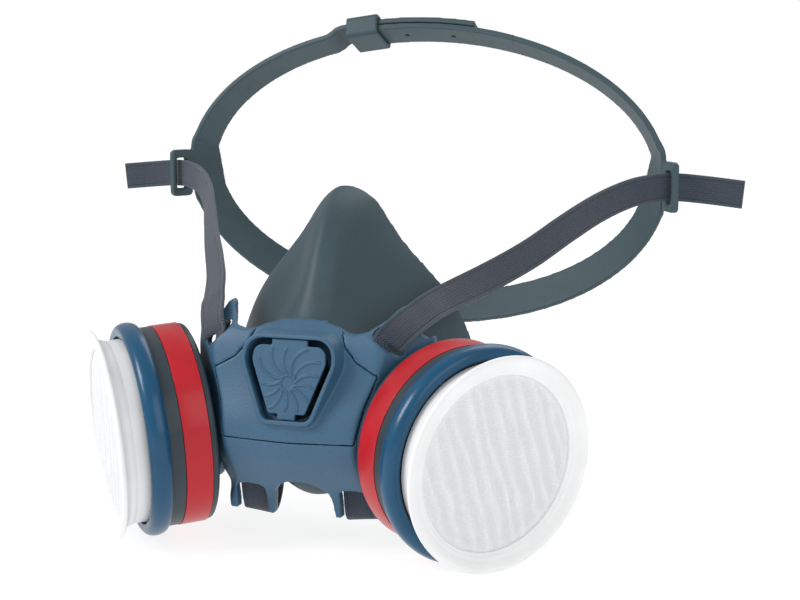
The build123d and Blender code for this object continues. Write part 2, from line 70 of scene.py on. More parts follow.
Point = tuple[float, float, float]
Colour = tuple[float, float, float]
Profile = Sequence[tuple[float, float]]
Station = tuple[Point, Point]

MM = 0.001
SHARP = radians(38)
UV_SCALE = 100.0
log = logging.getLogger("respirator")


# ---------------------------------------------------------------- shader sums
class Wire:
    """An output socket that takes part in sums with numbers and other wires."""

    def __init__(self, recipe: "Recipe", socket: bpy.types.NodeSocket) -> None:
        """Keeps the socket and the recipe that it belongs to."""
        self.recipe = recipe
        self.socket = socket

    def _sum(self, operation: str, first: object, second: object) -> "Wire":
        """Adds a Math node for one operation."""
        return self.recipe.node("ShaderNodeMath", {"operation": operation}, {0: first, 1: second})

    def __add__(self, other: object) -> "Wire":
        """self + other."""
        return self._sum("ADD", self, other)

    def __radd__(self, other: object) -> "Wire":
        """other + self."""
        return self._sum("ADD", other, self)

    def __sub__(self, other: object) -> "Wire":
        """self - other."""
        return self._sum("SUBTRACT", self, other)

    def __rsub__(self, other: object) -> "Wire":
        """other - self."""
        return self._sum("SUBTRACT", other, self)

    def __mul__(self, other: object) -> "Wire":
        """self * other."""
        return self._sum("MULTIPLY", self, other)

    def __rmul__(self, other: object) -> "Wire":
        """other * self."""
        return self._sum("MULTIPLY", other, self)

    def wave(self) -> "Wire":
        """Sine of the value."""
        return self._sum("SINE", self, 0.0)

    def size(self) -> "Wire":
        """Absolute value."""
        return self._sum("ABSOLUTE", self, 0.0)


class Recipe:
    """A material under construction around one Principled shader."""

    def __init__(self, name: str) -> None:
        """Starts an empty material.

        Args:
            name: the material's name.
        """
        self.material = bpy.data.materials.new(name)
        self.material.use_nodes = True
        self.tree = self.material.node_tree
        self.shader = self.tree.nodes["Principled BSDF"]

    def node(self, kind: str, settings: dict, inputs: dict, output: object = 0) -> Wire:
        """Adds one node.

        Args:
            kind: the node's type.
            settings: its properties.
            inputs: values or wires by socket name or number.
            output: which output socket to hand back.

        Returns:
            The chosen output.
        """
        made = self.tree.nodes.new(kind)
        for key, value in settings.items():
            setattr(made, key, value)
        for key, value in inputs.items():
            self.feed(made.inputs[key], value)
        return Wire(self, made.outputs[output])

    def feed(self, socket: bpy.types.NodeSocket, value: object) -> None:
        """Links a wire to a socket, or sets the socket's own value."""
        if isinstance(value, Wire):
            self.tree.links.new(value.socket, socket)
        else:
            socket.default_value = value

    def set(self, **values: object) -> None:
        """Sets or links the shader's sockets, with _ for a space in their names."""
        for key, value in values.items():
            self.feed(self.shader.inputs[key.replace("_", " ")], value)

    def object_place(self) -> Wire:
        """Object coordinates."""
        return self.node("ShaderNodeTexCoord", {}, {}, "Object")

    def noise(self, scale: float, detail: float = 2.0, place: Optional[Wire] = None) -> Wire:
        """Noise from 0 to 1.

        Args:
            scale: features per metre.
            detail: octaves.
            place: coordinates, or None for Object coordinates.

        Returns:
            The noise's factor.
        """
        inputs = {"Vector": place or self.object_place(), "Scale": scale, "Detail": detail}
        return self.node("ShaderNodeTexNoise", {}, inputs, "Fac")

    def ramp(self, value: Wire, low: float, high: float) -> Wire:
        """Stretches low..high to 0..1 and clips the rest."""
        settings = {"clamp": True}
        return self.node("ShaderNodeMapRange", settings, {0: value, 1: low, 2: high})

    def mix(self, factor: object, first: object, second: object) -> Wire:
        """Mixes two colours, each a wire or three numbers."""
        ends = [c if isinstance(c, Wire) else (*c, 1.0) for c in (first, second)]
        return self.node("ShaderNodeMix", {"data_type": "RGBA"}, {0: factor, 6: ends[0], 7: ends[1]}, 2)

    def bump(self, height: Wire, depth: float, under: Optional[Wire] = None) -> Wire:
        """A bump from a height of 0 to 1.

        Args:
            height: the relief.
            depth: how high 1 stands, in millimetres.
            under: a bump that this one lies on.

        Returns:
            The normal.
        """
        inputs = {"Height": height, "Distance": depth * MM}
        if under:
            inputs["Normal"] = under
        return self.node("ShaderNodeBump", {}, inputs)


# ---------------------------------------------------------------- finishes
def tinted(colour: Colour, factor: float) -> Colour:
    """A colour made lighter or darker."""
    return tuple(min(c * factor, 1.0) for c in colour)


@dataclass(frozen=True)
class MouldedRubber:
    """Soft moulded rubber: matte, with a fine eroded grain and faint handling marks."""

    name: str
    tone: Colour
    roughness: float = 0.5
    grain: float = 0.05

    def material(self) -> bpy.types.Material:
        """Builds the material."""
        r = Recipe(self.name)
        cloud = r.ramp(r.noise(28, 3), 0.35, 0.7)
        dust = r.ramp(r.noise(900, 4), 0.5, 0.75)
        base = r.mix(cloud, tinted(self.tone, 0.9), tinted(self.tone, 1.1))
        base = r.mix(dust * 0.16, base, tinted(self.tone, 1.9))
        rub = r.noise(110, 5)
        grain = r.bump(r.noise(2600, 3), self.grain)
        r.set(Base_Color=base, Roughness=self.roughness - 0.06 + rub * 0.12)
        r.set(Normal=r.bump(r.noise(240, 2), self.grain, grain), Specular_IOR_Level=0.42)
        return r.material


@dataclass(frozen=True)
class SpeckledPlastic:
    """Spark-eroded plastic: a close pebble grain with paler flecks."""

    name: str
    tone: Colour
    fleck: Colour
    roughness: float = 0.42

    def material(self) -> bpy.types.Material:
        """Builds the material."""
        r = Recipe(self.name)
        place = r.object_place()
        cells = r.node("ShaderNodeTexVoronoi", {}, {"Vector": place, "Scale": 1500.0}, "Distance")
        pebble = r.noise(1500, 3, place)
        flecks = r.ramp(r.noise(2300, 2, place), 0.58, 0.72)
        broad = r.ramp(r.noise(40, 2, place), 0.3, 0.7)
        base = r.mix(broad, tinted(self.tone, 0.94), tinted(self.tone, 1.06))
        base = r.mix(flecks * 0.42, base, self.fleck)
        relief = pebble * 0.6 + cells * 0.5
        r.set(Base_Color=base, Roughness=self.roughness + pebble * 0.14, Normal=r.bump(relief, 0.085))
        return r.material


@dataclass(frozen=True)
class GlossPlastic:
    """Polished plastic with a clear skin, faint flow waves and hair scratches."""

    name: str
    tone: Colour
    roughness: float = 0.22
    coat: float = 0.5

    def material(self) -> bpy.types.Material:
        """Builds the material."""
        r = Recipe(self.name)
        place = r.object_place()
        smear = r.noise(60, 4, place)
        stretched = r.node("ShaderNodeMapping", {}, {"Vector": place, "Scale": (300, 4000, 300)})
        hair = r.ramp(r.noise(1.0, 2, stretched), 0.66, 0.74)
        base = r.mix(r.ramp(smear, 0.3, 0.7), tinted(self.tone, 0.92), tinted(self.tone, 1.08))
        rough = self.roughness + smear * 0.1 + hair * 0.1
        r.set(Base_Color=base, Roughness=rough, Coat_Weight=self.coat, Coat_Roughness=0.12)
        r.set(Specular_IOR_Level=0.3)
        r.set(Normal=r.bump(r.noise(150, 2, place), 0.03, r.bump(r.noise(1800, 2, place), 0.006)))
        return r.material


@dataclass(frozen=True)
class SatinPlastic:
    """Plain moulded plastic with a soft sheen and a very fine texture."""

    name: str
    tone: Colour
    roughness: float = 0.45
    relief: float = 0.03

    def material(self) -> bpy.types.Material:
        """Builds the material."""
        r = Recipe(self.name)
        tint = r.ramp(r.noise(55, 4), 0.3, 0.75)
        base = r.mix(tint, tinted(self.tone, 0.95), tinted(self.tone, 1.03))
        r.set(Base_Color=base, Roughness=self.roughness - 0.05 + r.noise(300, 3) * 0.1)
        r.set(Normal=r.bump(r.noise(1400, 3), self.relief))
        return r.material


@dataclass(frozen=True)
class FilterFelt:
    """Nonwoven filter cloth: short fibres in every direction with soft bonded spots, and painted shade
    in the hollows between pleats.
    """

    name: str
    tone: Colour
    depth: float = 0.22
    # how far the painted shade darkens the deepest hollows between pleats
    shade: float = 0.24

    def material(self) -> bpy.types.Material:
        """Builds the material."""
        r = Recipe(self.name)
        place = r.object_place()
        swirl = r.node("ShaderNodeTexNoise", {}, {"Vector": place, "Scale": 420.0}, "Color")
        bent = r.node("ShaderNodeVectorMath", {"operation": "SCALE"}, {0: swirl, "Scale": 0.002})
        bent = r.node("ShaderNodeVectorMath", {"operation": "ADD"}, {0: place, 1: bent})
        fibres = r.noise(1700, 6, bent)
        tangle = r.node("ShaderNodeTexVoronoi", {"feature": "DISTANCE_TO_EDGE"},
                        {"Vector": bent, "Scale": 900.0}, "Distance")
        strand = r.ramp(tangle, 0.0, 0.16)
        base = r.mix(r.ramp(fibres, 0.3, 0.72), tinted(self.tone, 0.86), self.tone)
        base = r.mix((1.0 - strand) * 0.25, base, tinted(self.tone, 1.1))
        # painted shade: the depth of the hollows between pleats, kept in a UV map, darkens the base
        # colour there
        painted_pleat_shade = r.node("ShaderNodeUVMap", {"uv_map": "painted_pleat_shade"}, {})
        painted_valley_shade = r.node("ShaderNodeSeparateXYZ", {}, {0: painted_pleat_shade}, "X")
        base = r.mix(painted_valley_shade * self.shade, base, tinted(self.tone, 0.45))
        relief = fibres * 0.7 + (1.0 - strand) * 0.3
        r.set(Base_Color=base, Roughness=0.92, Normal=r.bump(relief, self.depth), Sheen_Weight=0.25)
        return r.material


@dataclass(frozen=True)
class CarbonGrain:
    """Granular activated carbon."""

    name: str
    tone: Colour

    def material(self) -> bpy.types.Material:
        """Builds the material."""
        r = Recipe(self.name)
        place = r.object_place()
        grain = r.node("ShaderNodeTexVoronoi", {}, {"Vector": place, "Scale": 900.0}, "Distance")
        shade = r.ramp(r.noise(700, 2), 0.4, 0.7)
        r.set(Base_Color=r.mix(shade, self.tone, tinted(self.tone, 3)), Roughness=0.45 + shade * 0.3)
        r.set(Normal=r.bump(1.0 - grain, 0.6))
        return r.material


@dataclass(frozen=True)
class ElasticWebbing:
    """Woven elastic: fine twill ribs along the strap, paler flecks, firm edges, stitched lines."""

    name: str
    tone: Colour
    fleck: Colour
    half_width: float = 6.5

    def material(self) -> bpy.types.Material:
        """Builds the material."""
        r = Recipe(self.name)
        flat = r.node("ShaderNodeUVMap", {"uv_map": "weave"}, {})
        split = r.tree.nodes.new("ShaderNodeSeparateXYZ")
        r.feed(split.inputs[0], flat)
        across, along = [Wire(r, split.outputs[axis]) * UV_SCALE for axis in ("X", "Y")]
        wander = r.noise(90, 2, flat)
        ribs = (across * (2 * pi / 1.15)).wave()
        picks = ((along + across * 0.55) * (2 * pi / 0.8) + wander * 2.0).wave()
        weave = r.ramp(ribs * 0.22 + picks * 0.6, -0.7, 0.8)
        yarn = r.noise(260, 4, flat)
        edge = r.ramp(across.size(), self.half_width - 1.25, self.half_width - 0.75)
        groove = 1.0 - r.ramp((across.size() - (self.half_width - 1.7)).size(), 0.05, 0.35)
        pale = r.ramp(weave * 0.55 + yarn * 0.75, 0.62, 0.95)
        base = r.mix(pale * 0.75, self.tone, self.fleck)
        base = r.mix(edge * 0.35, base, tinted(self.fleck, 0.8))
        base = r.mix(groove * 0.6, base, tinted(self.tone, 0.45))
        relief = weave * 0.6 + yarn * 0.25 + edge * 0.35 - groove * 0.5
        r.set(Base_Color=base, Roughness=0.82, Normal=r.bump(relief, 0.34), Sheen_Weight=0.2)
        return r.material


class Slot(Enum):
    """The record's material slots and the finish that each one gets."""

    MASK = ("mask_rubber", MouldedRubber("mask_rubber_matte", (0.036, 0.067, 0.082), 0.55))
    CRADLE = ("cradle_rubber", MouldedRubber("cradle_rubber_matte", (0.037, 0.069, 0.082), 0.55, 0.035))
    VALVE = ("valve_rubber", MouldedRubber("valve_rubber_black", (0.012, 0.013, 0.015), 0.4, 0.02))
    CARRIER = ("carrier_plastic",
               SpeckledPlastic("carrier_blue_grained", (0.034, 0.104, 0.182), (0.09, 0.2, 0.31)))
    ACCENT = ("accent_plastic", GlossPlastic("accent_blue_gloss", (0.003, 0.068, 0.15), 0.26, 0.2))
    CASE = ("case_plastic", GlossPlastic("case_grey", (0.03, 0.045, 0.058), 0.36, 0.05))
    LABEL = ("label_red", GlossPlastic("label_red_print", (0.46, 0.009, 0.017), 0.28, 0.12))
    PORT = ("port_plastic", SatinPlastic("port_plastic_dark", (0.045, 0.05, 0.055)))
    RIM = ("prefilter_plastic", SatinPlastic("prefilter_white", (0.86, 0.865, 0.87), 0.42, 0.02))
    WEB = ("filter_web", FilterFelt("filter_felt", (0.85, 0.86, 0.875)))
    CARBON = ("carbon", CarbonGrain("carbon_granules", (0.008, 0.008, 0.009)))
    WEBBING = ("webbing", ElasticWebbing("webbing_elastic", (0.022, 0.032, 0.05), (0.085, 0.115, 0.155)))

    @property
    def label(self) -> str:
        """The slot's name in the record."""
        return self.value[0]


class Paints:
    """Makes each finish once and hands it out."""

    def __init__(self) -> None:
        """Starts with no finish made."""
        self.made: dict[Slot, bpy.types.Material] = {}

    def __getitem__(self, slot: Slot) -> bpy.types.Material:
        """The material of a slot."""
        if slot not in self.made:
            self.made[slot] = slot.value[1].material()
        return self.made[slot]


PAINTS = Paints()


# ---------------------------------------------------------------- meshes
class Side(Enum):
    """Which hand a piece is for."""

    LEFT = "left"
    RIGHT = "right"


@dataclass(frozen=True)
class Remesh:
    """Voxel remesh and smoothing that melt joined solids into one moulded form."""

    voxel: float
    rounds: int = 6

    def add(self, piece: bpy.types.Object) -> None:
        """Adds the modifiers to a piece."""
        voxels = piece.modifiers.new("Melt", "REMESH")
        voxels.mode, voxels.voxel_size, voxels.use_smooth_shade = "VOXEL", self.voxel * MM, True
        soften = piece.modifiers.new("Soften", "SMOOTH")
        soften.factor, soften.iterations = 0.5, self.rounds


@dataclass(frozen=True)
class EdgeRound:
    """Small rounded edges wherever two faces meet at a real corner."""

    width: float
    steps: int = 2

    def add(self, piece: bpy.types.Object) -> None:
        """Adds the modifier to a piece."""
        bevel = piece.modifiers.new("Edges", "BEVEL")
        bevel.width, bevel.segments, bevel.limit_method = self.width * MM, self.steps, "ANGLE"
        bevel.angle_limit, bevel.harden_normals = radians(40), False


Work = Optional[Union[Remesh, EdgeRound]]


def mirrored(bm: bmesh.types.BMesh) -> bmesh.types.BMesh:
    """A copy of a left-hand mesh for the right hand."""
    other = bm.copy()
    bmesh.ops.scale(other, vec=(-1, 1, 1), verts=other.verts)
    bmesh.ops.reverse_faces(other, faces=other.faces)
    return other


def settle(bm: bmesh.types.BMesh, name: str, slot: Slot, body: Optional[str],
           nodes: Iterable[str] = (), work: Work = None) -> bpy.types.Object:
    """Turns a mesh in millimetres into a dressed piece.

    Args:
        bm: the mesh, which is used up.
        name: the piece's name.
        slot: its finish.
        body: the CAD body that it rides on, or None to attach it to no body.
        nodes: CAD nodes that it stands for.
        work: a Remesh or EdgeRound for its modifiers.

    Returns:
        The finished object.
    """
    bmesh.ops.scale(bm, vec=(MM, MM, MM), verts=bm.verts)
    for face in bm.faces:
        face.smooth = True
    for edge in bm.edges:
        edge.smooth = len(edge.link_faces) == 2 and edge.calc_face_angle(0.0) < SHARP
    mesh = bpy.data.meshes.new(name)
    bm.to_mesh(mesh)
    bm.free()
    mesh.materials.append(PAINTS[slot])
    piece = bpy.data.objects.new(name, mesh)
    bpy.context.scene.collection.objects.link(piece)
    if work:
        work.add(piece)
    if body:
        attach(piece, body)
    slot.label
    if nodes:
        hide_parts(*nodes)
    log.info("%s made", name)
    return piece


def settle_pair(bm: bmesh.types.BMesh, name: str, slot: Slot, body: str, nodes: Iterable[str] = (),
                work: Work = None) -> None:
    """Makes a left piece and its mirror image.

    Args:
        bm: the left mesh in millimetres.
        name: the piece's name without its side.
        slot: its finish.
        body: its body, with {side} where the side's name goes.
        nodes: CAD nodes without their side.
        work: modifiers for both.
    """
    for side, mesh in ((Side.RIGHT, mirrored(bm)), (Side.LEFT, bm)):
        hand = side.value
        named = [f"{hand}_{node}" for node in nodes]
        settle(mesh, f"{hand}_{name}", slot, body.format(side=hand), named, work)


def node_mesh(node: str) -> bmesh.types.BMesh:
    """A merged copy of a CAD node's mesh, in millimetres."""
    bm = bmesh.new()
    bm.from_mesh(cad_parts[node].data)
    bmesh.ops.scale(bm, vec=(1 / MM, 1 / MM, 1 / MM), verts=bm.verts)
    bmesh.ops.remove_doubles(bm, verts=bm.verts, dist=0.0005)
    return bm


def joined(parts: Sequence[bmesh.types.BMesh]) -> bmesh.types.BMesh:
    """All the given meshes in one; the inputs are used up."""
    whole = bmesh.new()
    for part in parts:
        mesh = bpy.data.meshes.new("joining")
        part.to_mesh(mesh)
        part.free()
        whole.from_mesh(mesh)
        bpy.data.meshes.remove(mesh)
    return whole


# ---------------------------------------------------------------- turned pieces
@dataclass(frozen=True)
class Spindle:
    """The left cartridge's axis, from the centre of its rear face."""

    yaw: float = 52.8
    drop: float = 4.9
    rear: Point = (55.3, -46.7, -37.5)

    def matrix(self) -> Matrix:
        """Frame with z along the axis and x level."""
        yaw, drop = radians(self.yaw), radians(self.drop)
        axis = Vector((sin(yaw) * cos(drop), -cos(yaw) * cos(drop), -sin(drop)))
        level = Vector((cos(yaw), sin(yaw), 0))
        turn = Matrix((level, axis.cross(level), axis)).transposed().to_4x4()
        return Matrix.Translation(self.rear) @ turn

    def turned(self, profile: Profile, rounding: float = 0.0, steps: int = 160,
               closed: bool = True) -> bmesh.types.BMesh:
        """Turns a profile about the axis.

        Args:
            profile: corners as (radius, distance).
            rounding: radius put on the profile's corners.
            steps: facets round the axis.
            closed: whether the last corner joins the first.

        Returns:
            The turned mesh, in place.
        """
        bm = bmesh.new()
        line = [bm.verts.new((r, 0, s)) for r, s in profile]
        for a, b in zip(line, line[1:]):
            bm.edges.new((a, b))
        if closed:
            bm.edges.new((line[-1], line[0]))
        if rounding:
            corners = [v for v in line if len(v.link_edges) == 2 and v.co.x > 0.01]
            bmesh.ops.bevel(bm, geom=corners, offset=rounding, offset_type="OFFSET", segments=4,
                            profile=0.5, affect="VERTICES", material=-1, clamp_overlap=True)
        whole = bm.verts[:] + bm.edges[:]
        bmesh.ops.spin(bm, geom=whole, cent=(0, 0, 0), axis=(0, 0, 1), angle=2 * pi, steps=steps,
                       use_merge=True, use_duplicate=False)
        bmesh.ops.remove_doubles(bm, verts=bm.verts, dist=0.001)
        bmesh.ops.recalc_face_normals(bm, faces=bm.faces)
        bmesh.ops.transform(bm, matrix=self.matrix(), verts=bm.verts)
        return bm


SPINDLE = Spindle()


@dataclass
class Cartridge:
    """A filter cartridge: base, case, printed band, accent ring and what is inside."""

    case_r: float = 43.0
    label: Profile = ((42.5, 3.35), (43.25, 3.35), (43.25, 14.5), (42.5, 14.5))
    label_round: float = 0.12
    ring_start: float = 20.4
    ring_end: float = 29.4
    ring_r: float = 46.0

    def ring_profile(self) -> list[tuple[float, float]]:
        """Rounded section of the accent ring."""
        middle, half = (self.ring_start + self.ring_end) / 2, (self.ring_end - self.ring_start) / 2
        points = []
        for step in range(-9, 10):
            a = radians(step * 10)
            seat = self.case_r + 0.1 if step < 0 else 42.2
            points.append((seat + (self.ring_r - seat) * cos(a) ** 0.8, middle + half * sin(a)))
        return points + [(40.7, 29.0), (40.6, 27.6), (self.case_r + 0.1, 27.6)]

    def build(self) -> None:
        """Makes both cartridges."""
        body = "{side}_cartridge"
        label = SPINDLE.turned(self.label, self.label_round)
        settle_pair(label, "label_band_print", Slot.LABEL, body, ["label_band"])
        ring = SPINDLE.turned(self.ring_profile())
        settle_pair(ring, "accent_ring_gloss", Slot.ACCENT, body, ["accent_ring"])
        for node, slot, edge in (("cartridge_base", Slot.CASE, 0.3), ("cartridge_case", Slot.CASE, 0.2),
                                 ("carbon_bed", Slot.CARBON, 0), ("rear_screen", Slot.WEB, 0),
                                 ("front_screen", Slot.WEB, 0)):
            work = EdgeRound(edge) if edge else None
            settle_pair(node_mesh(f"left_{node}"), f"{node}_moulded", slot, body, [node], work)


@dataclass
class Prefilter:
    """A push-in particle prefilter: flared white rim and pleated felt face."""

    rim: Profile = ((36.8, 27.95), (39.4, 27.95), (39.4, 34.2), (39.9, 35.2), (40.7, 37.4), (42.0, 38.7),
                    (44.6, 39.6), (45.1, 40.3), (45.1, 41.3), (44.4, 41.85), (42.6, 41.8), (41.0, 41.1),
                    (39.6, 40.2), (38.4, 39.8), (37.6, 39.1), (36.8, 39.0))
    rim_round: float = 0.5
    felt_r: float = 37.2
    felt_back: float = 37.05
    felt_front: float = 37.85
    pleat_pitch: float = 6.4
    pleat_height: float = 0.75
    slant: float = 20.0

    def pleat(self, x: float, y: float) -> float:
        """Height of the felt at a place on its face, from 0 to 1."""
        a = radians(self.slant)
        u, v = x * cos(a) + y * sin(a), y * cos(a) - x * sin(a)
        wander = noise.noise(Vector((u / 9, v / 26, 3.0))) * 2.4
        wander += noise.noise(Vector((u / 4, v / 8, 9.0))) * 0.8
        ridge = 0.5 + 0.5 * cos((u + wander) * 2 * pi / self.pleat_pitch)
        patch = 0.75 + 0.5 * noise.noise(Vector((u / 7, v / 12, 21.0)))
        return ridge ** 1.6 * patch

    def felt(self) -> bmesh.types.BMesh:
        """The felt face, turned and then pressed into pleats; a UV map keeps how deep each hollow
        between pleats lies, for painted shade.
        """
        rings = 44
        front = [(self.felt_r * (1 - i / rings), self.felt_front) for i in range(rings + 1)]
        outline = [(0, self.felt_back), (self.felt_r, self.felt_back), *front]
        bm = SPINDLE.turned(outline, steps=200, closed=False)
        back = SPINDLE.matrix().inverted()
        axis = SPINDLE.matrix().col[2].to_3d()
        # UV map of the depth between pleats, read by the felt's painted shade
        painted_pleat_shade = bm.loops.layers.uv.new("painted_pleat_shade")
        for vert in bm.verts:
            local = back @ vert.co
            if local.z > (self.felt_back + self.felt_front) / 2:
                inside = max(min((self.felt_r - local.xy.length) / 4, 1), 0)
                height = self.pleat(local.x, local.y)
                vert.co += axis * self.pleat_height * height * inside
                for loop in vert.link_loops:
                    loop[painted_pleat_shade].uv = (max(1 - height, 0) * inside, 0)
        return bm

    def build(self) -> None:
        """Makes both prefilters."""
        body = "{side}_prefilter"
        rim = SPINDLE.turned(self.rim, self.rim_round)
        settle_pair(rim, "prefilter_rim_white", Slot.RIM, body, ["prefilter_rim"])
        settle_pair(self.felt(), "prefilter_felt", Slot.WEB, body, ["prefilter_web"])
        pack = node_mesh("left_prefilter_pleats")
        settle_pair(pack, "prefilter_pleat_pack", Slot.WEB, body, ["prefilter_pleats"])


# ---------------------------------------------------------------- straps
class Route:
    """A smooth line through stations, each a point and the face normal there."""

    def __init__(self, stations: Sequence[Station]) -> None:
        """Keeps the stations and measures the line."""
        self.points = [Vector(p) for p, _ in stations]
        self.normals = [Vector(n).normalized() for _, n in stations]
        self.spans = len(stations) - 1
        self.lengths = [0.0]
        fine = self.spans * 12
        for i in range(fine):
            step = (self.centre((i + 1) / fine) - self.centre(i / fine)).length
            self.lengths.append(self.lengths[-1] + step)

    def centre(self, t: float) -> Vector:
        """Point at t from 0 to 1, on a curve that passes through the stations."""
        at = min(max(t, 0), 1) * self.spans
        i = min(int(at), self.spans - 1)
        u = at - i
        p1, p2 = self.points[i], self.points[i + 1]
        p0 = self.points[i - 1] if i else p1 * 2 - p2
        p3 = self.points[i + 2] if i + 2 <= self.spans else p2 * 2 - p1
        out = p1 * 2 + (p2 - p0) * u + (p0 * 2 - p1 * 5 + p2 * 4 - p3) * u * u
        return (out + (p1 * 3 - p0 - p2 * 3 + p3) * u ** 3) / 2

    def length_at(self, t: float) -> float:
        """Distance along the line."""
        at = min(max(t, 0), 1) * (len(self.lengths) - 1)
        i = min(int(at), len(self.lengths) - 2)
        return self.lengths[i] + (self.lengths[i + 1] - self.lengths[i]) * (at - i)

    def axes(self, t: float) -> tuple[Vector, Vector]:
        """Directions across the strap and out of its face."""
        at = min(max(t, 0), 1) * self.spans
        i = min(int(at), self.spans - 1)
        u = at - i
        ease = u * u * (3 - 2 * u) * 0.5 + u * 0.5
        normal = self.normals[i].lerp(self.normals[i + 1], ease)
        along = (self.centre(t + 0.002) - self.centre(t - 0.002)).normalized()
        across = normal.cross(along).normalized()
        return across, along.cross(across).normalized()

    def strap(self, width: float, thickness: float, steps: int, columns: int = 6) -> bmesh.types.BMesh:
        """A flat strap along the route.

        Args:
            width: across the strap.
            thickness: through it.
            steps: divisions along it.
            columns: divisions across it.

        Returns:
            A closed mesh with a "weave" UV map: millimetres across and along, over UV_SCALE.
        """
        bm = bmesh.new()
        uv = bm.loops.layers.uv.new("weave")
        bmesh.ops.create_grid(bm, x_segments=columns, y_segments=steps, size=1)
        lifted = bmesh.ops.extrude_face_region(bm, geom=bm.faces[:], use_keep_orig=True)
        top = [v for v in lifted["geom"] if isinstance(v, bmesh.types.BMVert)]
        bmesh.ops.translate(bm, vec=(0, 0, 1), verts=top)
        for face in bm.faces:
            for loop in face.loops:
                co = loop.vert.co
                along = self.length_at((co.y + 1) / 2)
                loop[uv].uv = (co.x * width / 2 / UV_SCALE, along / UV_SCALE)
        for vert in bm.verts:
            t = (vert.co.y + 1) / 2
            across, normal = self.axes(t)
            side, height = vert.co.x * width / 2, (vert.co.z - 0.5) * thickness
            vert.co = self.centre(t) + across * side + normal * height
        bmesh.ops.recalc_face_normals(bm, faces=bm.faces)
        return bm


@dataclass
class Webbing:
    """The elastic straps: two upper straps, the hangers below the mask and the neck loop."""

    width: float = 13.0
    thickness: float = 1.5
    steps: int = 150
    upper: Sequence[Station] = (
        ((36.2, -56.6, 2.4), (0.6, -0.74, 0.3)), ((37.7, -62.6, 4.2), (0.62, -0.68, 0.4)),
        ((40.2, -61, 7.2), (0.62, -0.55, 0.55)), ((43.2, -54.4, 10.8), (0.6, -0.42, 0.68)),
        ((46.2, -47.2, 13.6), (0.58, -0.34, 0.74)), ((49, -40.4, 16.2), (0.62, -0.27, 0.73)),
        ((53.5, -28, 18.9), (0.7, -0.22, 0.66)), ((64, -4, 24.4), (0.76, -0.42, 0.5)),
        ((76, 20, 31.9), (0.68, -0.66, 0.32)), ((87, 43, 41), (0.62, -0.76, 0.18)),
        ((97.4, 64, 48.6), (0.6, -0.8, 0.08)), ((108.4, 80, 53.8), (0.6, -0.8, 0.02)),
        ((118.6, 89, 55.9), (0.57, -0.82, 0)), ((125.1, 93.4, 56), (0.56, -0.83, 0)),
        ((131.4, 96.8, 55.6), (0.42, -0.9, 0)), ((143.4, 99.4, 54.4), (0.05, -1, 0)),
        ((158, 98.6, 53), (-0.05, -1, 0)))
    neck: Sequence[Station] = (
        ((23.2, -61.2, -52), (0.1, -1, 0)), ((23.2, -58.5, -58), (0.08, -1, -0.1)),
        ((23.2, -57.2, -64), (0.1, -0.95, -0.25)), ((23.2, -56.2, -68.2), (0.12, -0.8, -0.55)),
        ((23.2, -54.4, -71.8), (0.12, -0.5, -0.85)), ((23.6, -50.6, -73), (0.1, -0.1, -1)),
        ((25.4, -42, -73), (0.1, 0, -1)), ((31, -24, -71.6), (0.3, 0, -0.95)),
        ((41, 6, -69.4), (0.62, -0.1, -0.75)), ((51.5, 35, -67), (0.9, -0.1, -0.4)),
        ((57.5, 62, -65), (1, 0.1, -0.1)), ((53, 86, -63.6), (0.9, 0.5, 0)),
        ((36, 103, -62.6), (0.5, 0.9, 0)), ((21, 109.2, -62), (0.2, 1, 0)),
        ((14.6, 110, -62), (0, 1, 0)), ((9.5, 110, -62), (0, 1, 0)))
    upper_bend: tuple[Point, Point] = ((0.0425, -0.053, 0.0095), (0.0486, -0.041, 0.0162))
    neck_bend: tuple[Point, Point] = ((0.0231, -0.0568, -0.0675), (0.0236, -0.0506, -0.073))

    def lay(self, stations: Sequence[Station], name: str, steps: int, nodes: Sequence[str],
            bend: tuple[Point, Point]) -> None:
        """Makes one strap on each side.

        Args:
            stations: the left strap's route.
            name: the pieces' name.
            steps: divisions along it.
            nodes: the CAD nodes it stands for, without their side.
            bend: the left strap's bend points, in metres; not used: each side's copy is worked out and
                dropped.
        """
        left = Route(stations).strap(self.width, self.thickness, steps)
        for side, mesh, sign in ((Side.RIGHT, mirrored(left), -1), (Side.LEFT, left, 1)):
            hand = side.value
            piece = settle(mesh, f"{hand}_{name}", Slot.WEBBING, None,
                           [f"{hand}_{node}" for node in nodes], EdgeRound(0.35))
            start, end = [(x * sign, y, z) for x, y, z in bend]
            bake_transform(piece)

    def build(self) -> None:
        """Makes all four straps."""
        self.lay(self.upper, "upper_webbing", self.steps, ["strap_anchor", "upper_strap"],
                 self.upper_bend)
        self.lay(self.neck, "neck_webbing", self.steps, ["neck_hanger", "neck_strap"],
                 self.neck_bend)
        for node in ("neck_hook", "neck_eye"):
            settle(node_mesh(node), f"{node}_moulded", Slot.PORT, "neck_loop", [node], Remesh(0.35, 5))


